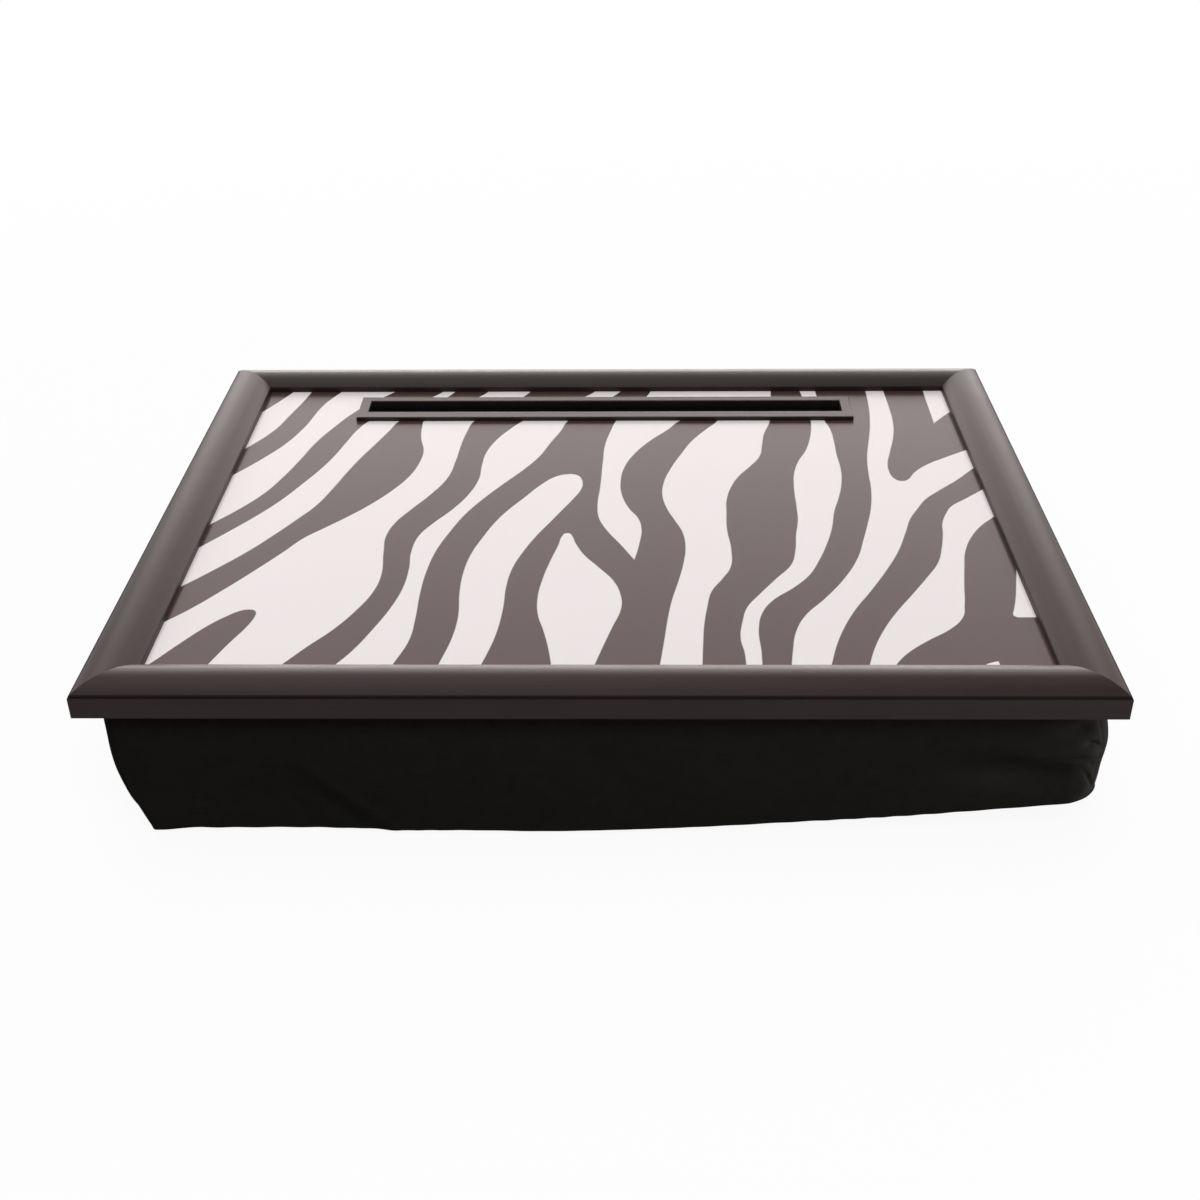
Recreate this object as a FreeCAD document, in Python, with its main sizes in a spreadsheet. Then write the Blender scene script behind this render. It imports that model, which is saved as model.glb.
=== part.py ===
import FreeCAD, Part
import math
import operator
import os
from types import SimpleNamespace

import Sketcher
from FreeCAD import Placement, Rotation, Vector

# Lap tray with a bead cushion: a mitred frame of four rounded rails holds a printed panel
# with a tablet slot, and a cloth bag of beads is stapled under the frame.
# Frame of reference: +X right, +Y to the back, +Z up, origin on the floor under the middle.

# Driving sizes in millimetres, apart from the counts.
DRIVING_SIZES = {
    # frame
    "tray_width": 430,
    "tray_depth": 330,
    "rail_width": 24,
    "band_height": 10,
    "crown_rise": 4.5,
    "crown_setback": 12.5,
    "quirk_depth": 0.8,
    "nose_height": 2.8,
    "nose_radius": 1.4,
    "rebate_width": 7,
    "rebate_height": 7.5,
    # corner nails, two to a mitre, bent to a right angle
    "nail_outer_place": 8.5,
    "nail_inner_place": 15.5,
    "nail_wing": 5.5,
    "nail_thickness": 0.6,
    "nail_height": 6.5,
    # panel and its printed film
    "panel_thickness": 4,
    "film_thickness": 0.5,
    "panel_play": 0.5,
    "point_width": 8,
    "point_reach": 6,
    "point_grip": 4,
    "point_thickness": 0.5,
    "point_pitch": 120,
    "point_margin": 60,
    # tablet slot
    "slot_length": 262,
    "slot_gap": 14,
    "slot_depth": 8.5,
    "slot_setback": 48.5,
    "slot_wall": 1.2,
    "slot_play": 0.3,
    "flange_side": 5.5,
    "flange_front": 7.5,
    "flange_rear": 5.5,
    "flange_height": 2.3,
    "flange_round": 0.6,
    "snap_length": 14,
    "snap_catch": 0.9,
    "snap_drop": 1.6,
    "snap_pitch": 96,
    "snap_count": 3,
    # cushion
    "cushion_height": 65,
    "cloth_thickness": 0.8,
    "hem_inset": 9,
    "hem_width": 8,
    "hem_corner": 10,
    "belly_height": 36,
    "belly_inset": 5,
    "belly_left": 9,
    "belly_right": 2.5,
    "belly_bow": 1.2,
    "belly_corner": 12,
    "rim_height": 1.5,
    "rim_inset": 7.5,
    "rim_left": 21,
    "rim_right": 8.5,
    "rim_pull": 2,
    "rim_corner": 5,
    "rim_lift": 11,
    "rim_sag": 5,
    "base_inset": 13,
    "base_left": 27,
    "base_right": 140,
    "fill_play": 0.4,
    # staples through the hem
    "staple_crown": 10,
    "staple_wire": 0.7,
    "staple_leg": 6,
    "staple_inset": 12.5,
    "staple_pitch": 55,
    "staple_margin": 45,
}

SHEET_NAME = "Sizes"
# How far a cutting outline runs past the faces that it opens.
CUT_MARGIN = 1.0
# Steps in which the bag's outline is drawn, from its rim to its belly and from there to its hem.
LOWER_STEPS = 5
UPPER_STEPS = 4
ARITHMETIC = {"+": operator.add, "-": operator.sub, "*": operator.mul, "/": operator.truediv}


class Size:
    """A number together with the spreadsheet formula that gives it."""

    def __init__(self, value, formula):
        self.value = value
        self.formula = formula

    def joined(self, sign, other, swapped=False):
        if not isinstance(other, Size):
            other = Size(other, f"{other}")
        first, second = (other, self) if swapped else (self, other)
        value = ARITHMETIC[sign](first.value, second.value)
        return Size(value, f"({first.formula} {sign} {second.formula})")

    def __add__(self, other):
        return self.joined("+", other)

    def __sub__(self, other):
        return self.joined("-", other)

    def __mul__(self, other):
        return self.joined("*", other)

    def __truediv__(self, other):
        return self.joined("/", other)

    def __radd__(self, other):
        return self.joined("+", other, swapped=True)

    def __rsub__(self, other):
        return self.joined("-", other, swapped=True)

    def __neg__(self):
        return self.joined("-", 0, swapped=True)

    def floor(self):
        return Size(math.floor(self.value), f"floor({self.formula})")


def make_sheet(doc):
    """The spreadsheet, and its sizes by name."""
    sheet = doc.addObject("Spreadsheet::Sheet", SHEET_NAME)
    for row, (alias, number) in enumerate(DRIVING_SIZES.items(), start=1):
        sheet.set(f"A{row}", alias)
        sheet.set(f"B{row}", f"{number}")
        sheet.setAlias(f"B{row}", alias)
    doc.recompute()
    named = {a: Size(float(sheet.get(a)), f"{SHEET_NAME}.{a}") for a in DRIVING_SIZES}
    return SimpleNamespace(**named)


def bind(item, name, size):
    """Ties one property of an object to the spreadsheet."""
    item.setExpression(name, size.formula)


def place(item, x=None, y=None, z=None, turn=0):
    """Stands an object at a bound place, turned about the upright axis."""
    item.Placement = Placement(Vector(), Rotation(Vector(0, 0, 1), turn))
    for axis, size in (("x", x), ("y", y), ("z", z)):
        if size is not None:
            bind(item, f"Placement.Base.{axis}", size)


def new_body(doc, label):
    body = doc.addObject("PartDesign::Body", label)
    body.Label = label
    return body


def new_sketch(body, name, plane, raised=None):
    """An empty sketch on one of the body's own planes, moved along that plane's normal."""
    sketch = body.newObject("Sketcher::SketchObject", name)
    support = next(o for o in body.Origin.OriginFeatures if o.Role == plane)
    sketch.AttachmentSupport = (support, [""])
    sketch.MapMode = "FlatFace"
    if raised is not None:
        bind(sketch, "AttachmentOffset.Base.z", raised)
    return sketch


def pin_down(sketch, element, point, x, y):
    """Fixes a point of the sketch at bound distances from its origin."""
    for kind, size in (("DistanceX", x), ("DistanceY", y)):
        rule = sketch.addConstraint(Sketcher.Constraint(kind, -1, 1, element, point, size.value))
        sketch.setExpression(f"Constraints[{rule}]", size.formula)


def draw_outline(sketch, corners, arcs=None):
    """A closed outline. arcs names, by the corner before it, each round side and its level end."""
    arcs = arcs or {}
    flat = [Vector(x.value, y.value, 0) for x, y in corners]
    sides = []
    for i, start in enumerate(flat):
        end = flat[(i + 1) % len(flat)]
        if i in arcs:
            # the arc runs level at the corner that stands over its centre
            level, other = (end, start) if arcs[i] == "level at end" else (start, end)
            drop = level.y - other.y
            radius = ((level.x - other.x) ** 2 + drop**2) / (2 * drop)
            centre = Vector(level.x, level.y - radius, 0)
            circle = Part.Circle(centre, Vector(0, 0, 1), radius)
            angles = [math.atan2(p.y - centre.y, p.x - centre.x) for p in (start, end)]
            sides.append(sketch.addGeometry(Part.ArcOfCircle(circle, *angles), False))
        else:
            sides.append(sketch.addGeometry(Part.LineSegment(start, end), False))
    for i, side in enumerate(sides):
        following = sides[(i + 1) % len(sides)]
        sketch.addConstraint(Sketcher.Constraint("Coincident", side, 2, following, 1))
    for side, (x, y) in zip(sides, corners):
        pin_down(sketch, side, 1, x, y)
    for i, kind in arcs.items():
        level_x = corners[(i + 1) % len(corners)][0] if kind == "level at end" else corners[i][0]
        rule = sketch.addConstraint(Sketcher.Constraint("DistanceX", -1, 1, sides[i], 3, level_x.value))
        sketch.setExpression(f"Constraints[{rule}]", level_x.formula)


def draw_rectangle(sketch, left, right, front, back):
    draw_outline(sketch, [(left, front), (right, front), (right, back), (left, back)])


def pad(body, sketch, length, symmetric=False, downward=False):
    feature = body.newObject("PartDesign::Pad", sketch.Name + "_pad")
    feature.Profile = sketch
    feature.SideType = "Symmetric" if symmetric else "One side"
    feature.Reversed = downward
    bind(feature, "Length", length)
    return feature


def pocket(body, sketch, length, symmetric=False, upward=False):
    """Cuts against the sketch's normal, or along it where upward."""
    feature = body.newObject("PartDesign::Pocket", sketch.Name + "_cut")
    feature.Profile = sketch
    feature.SideType = "Symmetric" if symmetric else "One side"
    feature.Reversed = upward
    bind(feature, "Length", length)
    return feature


def repeat(body, feature, axis, count, pitch):
    """The feature again at every pitch along one axis of its sketch."""
    if count.value < 2:
        return feature
    pattern = body.newObject("PartDesign::LinearPattern", feature.Name + "_row")
    pattern.Originals = [feature]
    pattern.Direction = (feature.Profile[0], [axis])
    bind(pattern, "Length", (count - 1) * pitch)
    bind(pattern, "Occurrences", count)
    body.Tip = pattern
    return pattern


def row_along(length, margin, pitch):
    """How many fasteners stand along a rail, and where the first one is from its middle."""
    count = ((length - margin * 2) / pitch).floor() + 1
    first = -((count - 1) * pitch / 2)
    return count, first


def places_along(length, margin, pitch):
    count, first = row_along(length, margin, pitch)
    return [first.value + i * pitch.value for i in range(int(count.value))]


def draw_rail_profile(sketch, s):
    """Section of the moulding: outer face at 0, rebate at the lower inner edge, round crown."""
    zero = s.rail_width * 0
    foot_width = s.rail_width - s.rebate_width
    half_quirk = s.quirk_depth / 2
    corners = [
        (zero, zero),
        (foot_width, zero),
        (foot_width, s.rebate_height),
        (s.rail_width, s.rebate_height),
        (s.rail_width, s.rebate_height + s.nose_height),
        (s.crown_setback, s.band_height + s.crown_rise),
        (half_quirk, s.band_height + half_quirk),
        (s.quirk_depth, s.band_height),
        (zero, s.band_height - half_quirk),
    ]
    draw_outline(sketch, corners, arcs={4: "level at end", 5: "level at start"})


def round_nose(body, base, s):
    """Softens the edge where the crown meets the upright nose of the lip."""
    top = s.rebate_height.value + s.nose_height.value
    edge = next(
        i
        for i, e in enumerate(base.Shape.Edges, start=1)
        if all(abs(v.Y - s.rail_width.value) < 1e-6 and abs(v.Z - top) < 1e-6 for v in e.Vertexes)
    )
    fillet = body.newObject("PartDesign::Fillet", body.Name + "_nose")
    fillet.Base = (base, [f"Edge{edge}"])
    bind(fillet, "Radius", s.nose_radius)
    return fillet


def make_rail(doc, label, s, length, turn, x=None, y=None):
    """One mitred rail, with the seats of the nails, points and staples that hold to it."""
    body = new_body(doc, label)
    profile = new_sketch(body, label + "_profile", "YZ_Plane")
    draw_rail_profile(profile, s)
    run = pad(body, profile, length, symmetric=True)
    doc.recompute()
    round_nose(body, run, s)

    half = length / 2
    reach = s.rail_width + CUT_MARGIN
    tall = s.band_height + s.crown_rise + CUT_MARGIN
    mitres = new_sketch(body, label + "_mitres", "XY_Plane")
    for side in (-1, 1):
        outer = (half + CUT_MARGIN) * side
        inner = (half - reach) * side
        draw_outline(mitres, [(outer, half * 0 - CUT_MARGIN), (inner, reach), (outer, reach)])
    pocket(body, mitres, tall, upward=True)

    slots = new_sketch(body, label + "_nail_slots", "XY_Plane")
    for side in (-1, 1):
        for nail in (s.nail_outer_place, s.nail_inner_place):
            near = (half - nail) * side
            far = (half - nail + s.nail_thickness) * side
            draw_rectangle(slots, near, far, nail - s.nail_wing, nail)
    pocket(body, slots, s.nail_height, upward=True)

    count, first = row_along(length, s.staple_margin, s.staple_pitch)
    holes = new_sketch(body, label + "_staple_holes", "XY_Plane")
    half_wire = s.staple_wire / 2
    for side in (-1, 1):
        middle = first + s.staple_crown / 2 * side
        draw_rectangle(
            holes,
            middle - half_wire,
            middle + half_wire,
            s.staple_inset - half_wire,
            s.staple_inset + half_wire,
        )
    legs = pocket(body, holes, s.staple_leg, upward=True)
    repeat(body, legs, "H_Axis", count, s.staple_pitch)

    count, first = row_along(length, s.point_margin, s.point_pitch)
    nicks = new_sketch(body, label + "_point_slots", "YZ_Plane", raised=first)
    wall = s.rail_width - s.rebate_width
    top = panel_underside(s)
    draw_rectangle(nicks, wall - s.point_grip, wall, top - s.point_thickness, top)
    nick = pocket(body, nicks, s.point_width, symmetric=True)
    repeat(body, nick, "N_Axis", count, s.point_pitch)

    place(body, x=x, y=y, z=s.cushion_height, turn=turn)
    return body


def panel_underside(s):
    """Height of the panel's lower face above the bottom of the rails."""
    return s.rebate_height - s.film_thickness - s.panel_thickness


def make_board(doc, label, s, thickness, level):
    """A sheet that lies in the rebate, cut out for the tablet slot. level is its lower face."""
    body = new_body(doc, label)
    outline = new_sketch(body, label + "_outline", "XY_Plane")
    edge = s.rail_width - s.rebate_width + s.panel_play
    wide = s.tray_width / 2 - edge
    deep = s.tray_depth / 2 - edge
    draw_rectangle(outline, -wide, wide, -deep, deep)
    middle = slot_middle(s)
    half_long = s.slot_length / 2 + s.slot_wall + s.slot_play
    half_gap = s.slot_gap / 2 + s.slot_wall + s.slot_play
    draw_rectangle(outline, -half_long, half_long, middle - half_gap, middle + half_gap)
    pad(body, outline, thickness)
    place(body, z=s.cushion_height + level)
    return body


def slot_middle(s):
    return s.tray_depth / 2 - s.slot_setback


def round_flange(body, base, s):
    """Softens the upper edges of the slot's flange, outside and round the mouth."""
    top = s.flange_height.value
    edges = [
        f"Edge{i}"
        for i, e in enumerate(base.Shape.Edges, start=1)
        if all(abs(v.Z - top) < 1e-6 for v in e.Vertexes)
    ]
    fillet = body.newObject("PartDesign::Fillet", body.Name + "_round")
    fillet.Base = (base, edges)
    bind(fillet, "Radius", s.flange_round)
    return fillet


def make_slot(doc, label, s):
    """Moulded trough with a raised flange, pressed through the panel and caught under it."""
    body = new_body(doc, label)
    half_long = s.slot_length / 2
    half_gap = s.slot_gap / 2

    flange = new_sketch(body, label + "_flange", "XY_Plane")
    side = half_long + s.flange_side
    draw_rectangle(flange, -side, side, -(half_gap + s.flange_front), half_gap + s.flange_rear)
    pad(body, flange, s.flange_height)

    trough = new_sketch(body, label + "_trough", "XY_Plane")
    long_wall = half_long + s.slot_wall
    wall = half_gap + s.slot_wall
    draw_rectangle(trough, -long_wall, long_wall, -wall, wall)
    pad(body, trough, s.slot_depth - s.flange_height + s.slot_wall, downward=True)

    mouth = new_sketch(body, label + "_mouth", "XY_Plane", raised=s.flange_height)
    draw_rectangle(mouth, -half_long, half_long, -half_gap, half_gap)
    hollow = pocket(body, mouth, s.slot_depth)
    doc.recompute()
    round_flange(body, hollow, s)

    first = -((s.snap_count - 1) * s.snap_pitch / 2)
    snaps = new_sketch(body, label + "_snaps", "YZ_Plane", raised=first)
    top = -(s.film_thickness + s.panel_thickness)
    for way in (-1, 1):
        face = wall * way
        tip = (wall + s.slot_play + s.snap_catch) * way
        draw_outline(snaps, [(face, top), (tip, top), (face, top - s.snap_drop)])
    catch = pad(body, snaps, s.snap_length, symmetric=True)
    repeat(body, catch, "N_Axis", s.snap_count, s.snap_pitch)

    place(body, y=slot_middle(s), z=s.cushion_height + s.rebate_height)
    return body


def rail_turns(s):
    """Each rail's length, its turn about the upright axis and the middle of its outer face."""
    half_wide = s.tray_width / 2
    half_deep = s.tray_depth / 2
    return {
        "front_rail": (s.tray_width, 0, None, -half_deep),
        "rear_rail": (s.tray_width, 180, None, half_deep),
        "left_rail": (s.tray_depth, -90, -half_wide, None),
        "right_rail": (s.tray_depth, 90, half_wide, None),
    }


def rail_frames(s):
    """Each rail's length with the placement that carries its own frame onto the tray."""
    for length, turn, x, y in rail_turns(s).values():
        base = Vector(x.value if x else 0, y.value if y else 0, s.cushion_height.value)
        yield length, Placement(base, Rotation(Vector(0, 0, 1), turn))


def make_group(doc, label, pattern, placements):
    """Identical fasteners as separate solids of one node, copied from the body named pattern."""
    doc.recompute()
    copies = []
    for placement in placements:
        copy = pattern.Shape.copy()
        copy.Placement = placement
        copies.append(copy)
    group = doc.addObject("Part::Feature", label)
    group.Label = label
    group.Shape = Part.makeCompound(copies)
    return group


def make_corner_nails(doc, label, s):
    """Bent nails across the mitres, driven flush with the bottom of the rails."""
    body = new_body(doc, "corner_nail")
    bend = new_sketch(body, "corner_nail_bend", "XY_Plane")
    zero = s.nail_wing * 0
    corners = [
        (zero, zero),
        (-s.nail_wing, zero),
        (-s.nail_wing, -s.nail_thickness),
        (-s.nail_thickness, -s.nail_thickness),
        (-s.nail_thickness, -s.nail_wing),
        (zero, -s.nail_wing),
    ]
    draw_outline(bend, corners)
    pad(body, bend, s.nail_height)

    half_wide = s.tray_width.value / 2
    half_deep = s.tray_depth.value / 2
    placements = []
    for turn in (0, 90, 180, 270):
        spin = Rotation(Vector(0, 0, 1), turn)
        outward = spin.multVec(Vector(-1, -1, 0))
        for inset in (s.nail_outer_place.value, s.nail_inner_place.value):
            x = outward.x * (half_wide - inset)
            y = outward.y * (half_deep - inset)
            placements.append(Placement(Vector(x, y, s.cushion_height.value), spin))
    return make_group(doc, label, body, placements)


def make_panel_points(doc, label, s):
    """Flat steel points pushed into the rebate wall, which hold the panel up to the lip."""
    body = new_body(doc, "panel_point")
    outline = new_sketch(body, "panel_point_outline", "XY_Plane")
    half = s.point_width / 2
    tip = half / 2
    corners = [
        (-half, -s.point_grip),
        (half, -s.point_grip),
        (half, s.point_reach - tip),
        (tip, s.point_reach),
        (-tip, s.point_reach),
        (-half, s.point_reach - tip),
    ]
    draw_outline(outline, corners)
    pad(body, outline, s.point_thickness, downward=True)

    wall = s.rail_width.value - s.rebate_width.value
    placements = []
    for length, frame in rail_frames(s):
        for x in places_along(length, s.point_margin, s.point_pitch):
            seat = Placement(Vector(x, wall, panel_underside(s).value), Rotation())
            placements.append(frame.multiply(seat))
    return make_group(doc, label, body, placements)


def make_staples(doc, label, s):
    """Staples with the crown under the hem and the legs through the cloth into a rail."""
    body = new_body(doc, "hem_staple")
    bend = new_sketch(body, "hem_staple_bend", "XZ_Plane")
    inner = (s.staple_crown - s.staple_wire) / 2
    outer = (s.staple_crown + s.staple_wire) / 2
    under = -s.cloth_thickness
    corners = [
        (-outer, under - s.staple_wire),
        (outer, under - s.staple_wire),
        (outer, s.staple_leg),
        (inner, s.staple_leg),
        (inner, under),
        (-inner, under),
        (-inner, s.staple_leg),
        (-outer, s.staple_leg),
    ]
    draw_outline(bend, corners)
    pad(body, bend, s.staple_wire, symmetric=True)

    placements = []
    for length, frame in rail_frames(s):
        for x in places_along(length, s.staple_margin, s.staple_pitch):
            seat = Placement(Vector(x, s.staple_inset.value, 0), Rotation())
            placements.append(frame.multiply(seat))
    return make_group(doc, label, body, placements)


def mix(first, second, share):
    return first + (second - first) * share


def arc_or_line(start, middle, end):
    """The arc through three points, or the line where they lie in a row."""
    if (middle - start).cross(end - middle).Length < 1e-9:
        return Part.LineSegment(start, end).toShape()
    return Part.Arc(start, middle, end).toShape()


def bag_outline(s, inset, left, right, pull, corner, height, lift=0.0, sag=0.0):
    """Closed line round the bag: four sides drawn in by pull between round corners.

    inset, left and right are distances from the tray's outer faces, inset at the front and the
    back. The right end stands higher than the left one by lift, and between them the long sides
    sag below the straight line.
    """
    half_wide = s.tray_width.value / 2
    half_deep = s.tray_depth.value / 2
    x0 = left - half_wide
    x1 = half_wide - right
    y0 = inset - half_deep
    y1 = half_deep - inset
    xm = (x0 + x1) / 2
    z0 = height
    z1 = height + lift
    zm = (z0 + z1) / 2 - sag
    tuck = corner * (1 - math.sqrt(0.5))
    points = [
        (x0 + corner, y0, z0),
        (xm, y0 + pull, zm),
        (x1 - corner, y0, z1),
        (x1 - tuck, y0 + tuck, z1),
        (x1, y0 + corner, z1),
        (x1 - pull, 0, z1),
        (x1, y1 - corner, z1),
        (x1 - tuck, y1 - tuck, z1),
        (x1 - corner, y1, z1),
        (xm, y1 - pull, zm),
        (x0 + corner, y1, z0),
        (x0 + tuck, y1 - tuck, z0),
        (x0, y1 - corner, z0),
        (x0 + pull, 0, z0),
        (x0, y0 + corner, z0),
        (x0 + tuck, y0 + tuck, z0),
    ]
    points = [Vector(*p) for p in points]
    ends = points[2::2] + points[:1]
    edges = [arc_or_line(*three) for three in zip(points[0::2], points[1::2], ends)]
    return Part.Wire(edges)


def bag_form(s, within, top):
    """The bag's form, lying inside its outer face by the distance within, up to the height top.

    The base lies flat on the floor. A seam with pointed corners runs round the rim, from which the
    sides swell to the belly and draw in to the hem under the rails. The beads have run to the
    left, so the right end of the rim lifts off the floor and hangs slack between its corners.
    """
    base = bag_outline(
        s,
        inset=s.base_inset.value + within,
        left=s.base_left.value + within,
        right=s.base_right.value + within,
        pull=s.rim_pull.value,
        corner=s.rim_corner.value,
        height=within,
    )
    outlines = [base]
    for step in range(LOWER_STEPS + 1):
        rise = step / LOWER_STEPS
        swell = math.sin(math.pi / 2 * rise)
        outline = bag_outline(
            s,
            inset=mix(s.rim_inset.value, s.belly_inset.value, swell) + within,
            left=mix(s.rim_left.value, s.belly_left.value, swell) + within,
            right=mix(s.rim_right.value, s.belly_right.value, swell) + within,
            pull=mix(s.rim_pull.value, -s.belly_bow.value, swell),
            corner=mix(s.rim_corner.value, s.belly_corner.value, rise),
            height=mix(s.rim_height.value + within, s.belly_height.value, rise),
            lift=mix(s.rim_lift.value, 0, rise),
            sag=mix(s.rim_sag.value, 0, rise),
        )
        outlines.append(outline)
    for step in range(1, UPPER_STEPS + 1):
        rise = step / UPPER_STEPS
        draw_in = 1 - math.cos(math.pi / 2 * rise)
        outline = bag_outline(
            s,
            inset=mix(s.belly_inset.value, s.hem_inset.value, draw_in) + within,
            left=mix(s.belly_left.value, s.hem_inset.value, draw_in) + within,
            right=mix(s.belly_right.value, s.hem_inset.value, draw_in) + within,
            pull=mix(-s.belly_bow.value, 0, rise),
            corner=mix(s.belly_corner.value, s.hem_corner.value, rise),
            height=mix(s.belly_height.value, top, rise),
        )
        outlines.append(outline)
    return Part.makeLoft(outlines, True, True)


def add_form(doc, label, shape):
    form = doc.addObject("Part::Feature", label)
    form.Label = label
    form.Shape = shape
    return form


def cut(doc, label, base, tool):
    result = doc.addObject("Part::Cut", label)
    result.Label = label
    result.Base = base
    result.Tool = tool
    return result


def make_sheet_box(doc, label, s, edge, thickness, level):
    """A flat rectangle that keeps the distance edge from the tray's outer faces."""
    box = doc.addObject("Part::Box", label)
    wide = s.tray_width - edge * 2
    deep = s.tray_depth - edge * 2
    bind(box, "Length", wide)
    bind(box, "Width", deep)
    bind(box, "Height", thickness)
    place(box, x=-(wide / 2), y=-(deep / 2), z=level)
    return box


def make_cover(doc, label, s, staples):
    """The cloth bag: one skin whose hem turns in under the rails and is pierced by the staples."""
    top = s.cushion_height.value
    cloth = s.cloth_thickness.value
    outside = add_form(doc, "bag_outside", bag_form(s, 0.0, top))
    inside = add_form(doc, "bag_inside", bag_form(s, cloth, top - cloth))
    edge = s.hem_inset + s.hem_width
    level = s.cushion_height - s.cloth_thickness * 1.5
    opening = make_sheet_box(doc, "bag_opening", s, edge, s.cloth_thickness * 2, level)
    skin = cut(doc, "bag_skin", outside, inside)
    hemmed = cut(doc, "bag_hemmed", skin, opening)
    return cut(doc, label, hemmed, staples)


def top_cloth_level(s):
    """Height of the upper face of the cloth that closes the bag, just under the staples."""
    return s.cushion_height - s.cloth_thickness - s.staple_wire


def make_top_cloth(doc, label, s):
    """The cloth that closes the bag, sewn in under the hem."""
    edge = s.hem_inset + s.cloth_thickness + s.fill_play
    level = top_cloth_level(s) - s.cloth_thickness
    sheet = make_sheet_box(doc, label + "_sheet", s, edge, s.cloth_thickness, level)
    doc.recompute()
    cloth = doc.addObject("Part::Fillet", label)
    cloth.Label = label
    cloth.Base = sheet
    upright = [
        i
        for i, e in enumerate(sheet.Shape.Edges, start=1)
        if abs(e.Vertexes[0].Z - e.Vertexes[1].Z) > s.cloth_thickness.value / 2
    ]
    radius = s.hem_corner.value
    cloth.Edges = [(i, radius, radius) for i in upright]
    return cloth


def make_fill(doc, label, s):
    """The loose beads as one body that fills the bag."""
    top = top_cloth_level(s) - s.cloth_thickness - s.fill_play
    within = s.cloth_thickness + s.fill_play
    return add_form(doc, label, bag_form(s, within.value, top.value))


def build(doc):
    """Every node of the tray."""
    s = make_sheet(doc)
    nodes = [
        make_rail(doc, label, s, length, turn, x, y)
        for label, (length, turn, x, y) in rail_turns(s).items()
    ]
    panel_level = panel_underside(s)
    nodes.append(make_corner_nails(doc, "corner_nails", s))
    nodes.append(make_board(doc, "tray_panel", s, s.panel_thickness, panel_level))
    nodes.append(make_board(doc, "printed_film", s, s.film_thickness, panel_level + s.panel_thickness))
    nodes.append(make_slot(doc, "tablet_slot", s))
    nodes.append(make_panel_points(doc, "panel_points", s))
    staples = make_staples(doc, "hem_staples", s)
    nodes.append(staples)
    nodes.append(make_cover(doc, "cushion_cover", s, staples))
    nodes.append(make_top_cloth(doc, "cushion_top_cloth", s))
    nodes.append(make_fill(doc, "bead_fill", s))
    doc.recompute()
    return nodes


def check(doc, nodes):
    """Stops the script where an object failed or a node isn't a sound solid."""
    for item in doc.Objects:
        if "Invalid" in item.State or "Error" in item.State:
            raise RuntimeError(f"{item.Label} failed: {item.State}")
    for node in nodes:
        shape = node.Shape
        if shape.isNull() or not shape.isValid() or not shape.Solids:
            raise RuntimeError(f"{node.Label} has no sound solid")


def main():
    doc = FreeCAD.newDocument("lap_tray")
    nodes = build(doc)
    check(doc, nodes)
    os.makedirs("parts", exist_ok=True)
    for node in nodes:
        node.Shape.exportStep(f"parts/{node.Label}.step")
        box = node.Shape.BoundBox
        print(
            f"{node.Label}: {len(node.Shape.Solids)} solids, {node.Shape.Volume / 1000:.1f} cm3, "
            f"x {box.XMin:.1f} to {box.XMax:.1f}, y {box.YMin:.1f} to {box.YMax:.1f}, "
            f"z {box.ZMin:.2f} to {box.ZMax:.2f}"
        )


main()
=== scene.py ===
import bpy
import numpy as np
from mathutils import Matrix, Vector


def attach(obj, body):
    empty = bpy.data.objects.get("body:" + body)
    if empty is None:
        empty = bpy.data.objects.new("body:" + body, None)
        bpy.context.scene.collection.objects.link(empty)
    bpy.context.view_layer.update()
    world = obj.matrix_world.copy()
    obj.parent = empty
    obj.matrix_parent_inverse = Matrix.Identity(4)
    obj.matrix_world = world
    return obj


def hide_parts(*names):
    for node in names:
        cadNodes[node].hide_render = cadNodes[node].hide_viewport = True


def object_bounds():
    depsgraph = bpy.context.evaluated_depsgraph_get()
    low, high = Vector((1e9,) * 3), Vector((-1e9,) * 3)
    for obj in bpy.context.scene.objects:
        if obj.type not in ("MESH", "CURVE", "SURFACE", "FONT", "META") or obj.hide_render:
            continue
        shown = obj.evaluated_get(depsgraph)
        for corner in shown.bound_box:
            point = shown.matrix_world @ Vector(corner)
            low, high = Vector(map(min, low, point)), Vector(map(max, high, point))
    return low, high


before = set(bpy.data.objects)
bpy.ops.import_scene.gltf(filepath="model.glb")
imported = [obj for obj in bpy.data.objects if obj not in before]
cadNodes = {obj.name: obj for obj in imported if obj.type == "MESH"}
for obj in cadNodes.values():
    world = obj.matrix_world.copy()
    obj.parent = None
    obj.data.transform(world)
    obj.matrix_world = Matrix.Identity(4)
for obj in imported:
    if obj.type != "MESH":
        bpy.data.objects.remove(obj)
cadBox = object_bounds()
mm = 0.001
print("frame:", len(cadNodes), "CAD nodes")


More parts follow.
